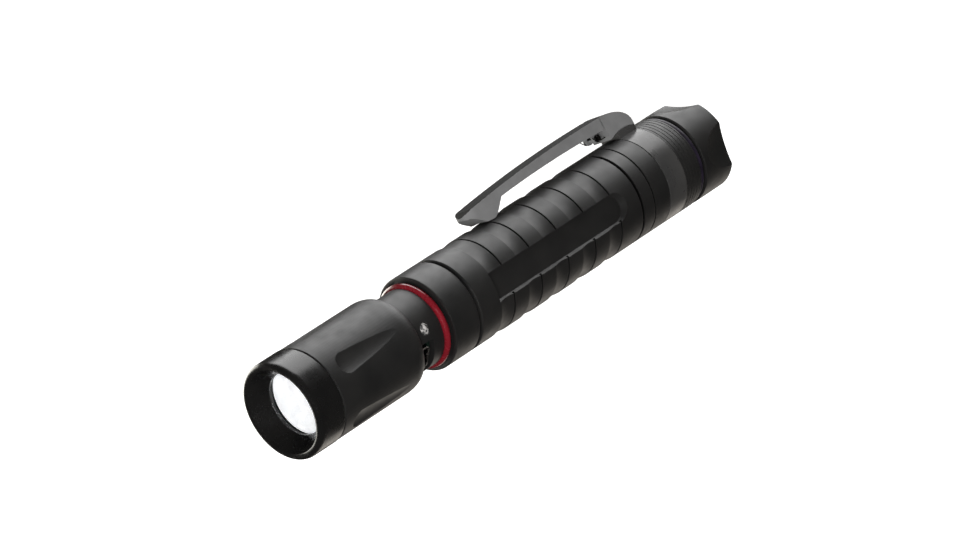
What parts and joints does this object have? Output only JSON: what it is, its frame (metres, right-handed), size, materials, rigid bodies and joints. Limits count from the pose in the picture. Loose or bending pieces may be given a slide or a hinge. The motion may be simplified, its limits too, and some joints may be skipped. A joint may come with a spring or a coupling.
{
  "type": "tactical flashlight",
  "caption": "Slim pocket flashlight with a screw-out head that uncovers a charge port, a sprung side clip, a ringed barrel with flats and a scalloped tail switch.",
  "frame": {"origin": "centre of the tail cap's end face, on which the light stands", "axes": "+Z along the light's axis, from the tail to the bezel; +X towards the pocket clip"},
  "size_m": [0.031, 0.0244, 0.1515],
  "materials": {
    "black_anodised": "satin black hard anodising with fine turning lines",
    "black_bezel": "semi-gloss black anodising",
    "black_ring": "semi-gloss black",
    "window_glass": "clear coated glass",
    "clear_optic": "clear moulded optic with a fine pebbled front",
    "red_seal": "glossy red silicone",
    "violet_seal": "dark violet silicone",
    "black_rubber": "matt black rubber",
    "button_rubber": "matt black textured rubber",
    "clip_grey": "matt dark grey, finely grained",
    "dark_spring": "blackened spring wire",
    "bright_steel": "bright nickel plate",
    "gold_spring": "gold-plated spring wire",
    "brass": "turned brass",
    "copper": "turned copper",
    "circuit_board": "green lacquered fibreglass",
    "white_board": "white lacquered metal-core board",
    "chip_plastic": "moulded black epoxy",
    "black_plastic": "moulded black plastic",
    "white_plastic": "moulded white plastic",
    "wire_sleeve": "red insulated wire",
    "led_phosphor": "yellow phosphor under a clear dome",
    "indicator_lens": "clear moulded lens",
    "battery_wrap": "blue shrink sleeve over a metal can",
    "battery_washer": "pale card washer"
  },
  "bodies": {
    "tail": {"tail_cap": "black_anodised", "switch_holder": "black_plastic", "switch_body": "chip_plastic", "switch_retainer": "brass", "switch_board": "circuit_board", "switch_spring": "bright_steel", "tail_contact_spring": "gold_spring"},
    "button": {"tail_button": "button_rubber", "switch_plunger": "white_plastic"},
    "battery": {"battery_cell": "battery_wrap", "battery_insulator": "battery_washer", "battery_cap": "bright_steel"},
    "barrel": {"barrel": "black_anodised", "lock_ring": "black_anodised", "tail_seal": "violet_seal", "clip_ring": "black_ring", "clip_bracket": "clip_grey", "clip_pin": "bright_steel", "clip_spring": "dark_spring", "front_collar": "black_anodised", "neck_housing": "black_anodised", "head_seal": "red_seal", "neck_seal": "black_rubber", "charge_indicator": "indicator_lens", "usb_port": "bright_steel", "charge_board": "circuit_board", "led_emitter": "led_phosphor", "led_board": "white_board", "heat_sink": "copper", "lead_wires": "wire_sleeve", "board_spacers": "black_plastic", "driver_board": "circuit_board", "driver_parts": "chip_plastic", "contact_board": "circuit_board", "front_contact_spring": "gold_spring"},
    "clip": {"clip_arm": "clip_grey"},
    "optic": {"optic_holder": "black_plastic", "tir_optic": "clear_optic"},
    "head": {"head_shell": "black_anodised", "bezel_ring": "black_bezel", "window_gasket": "black_rubber", "window_lens": "window_glass"}
  },
  "joints": [
    {"name": "button_press", "type": "slide", "parent": "tail", "child": "button", "axis": [0, 0, 1], "range_m": [0, 0.0016], "stiffness_N_per_m": 2000, "springref_m": -0.0005, "deforming": ["switch_spring"]},
    {"name": "barrel_lift", "type": "slide", "parent": "tail", "child": "battery", "axis": [0, 0, 1], "range_m": [0, 0.004], "deforming": ["tail_contact_spring"]},
    {"name": "barrel_unscrew", "type": "hinge", "parent": "battery", "child": "barrel", "pos_m": [0, 0, 0.0246], "axis": [0, 0, 1], "range_deg": [0, 720]},
    {"name": "clip_swing", "type": "hinge", "parent": "barrel", "child": "clip", "pos_m": [0.0145, 0, 0.03], "axis": [0, 1, 0], "range_deg": [0, 5.5], "stiffness_Nm_per_rad": 1.4, "springref_deg": -5.16},
    {"name": "optic_slide", "type": "slide", "parent": "barrel", "child": "optic", "axis": [0, 0, 1], "range_m": [-0.008, 0]},
    {"name": "head_twist", "type": "hinge", "parent": "optic", "child": "head", "pos_m": [0, 0, 0.1148], "axis": [0, 0, 1], "range_deg": [-1440, 0]}
  ],
  "couplings": [
    {"joint": "barrel_lift", "follows": "barrel_unscrew", "m_per_rad": 0.0003183},
    {"joint": "optic_slide", "follows": "head_twist", "m_per_rad": 0.0003183}
  ]
}
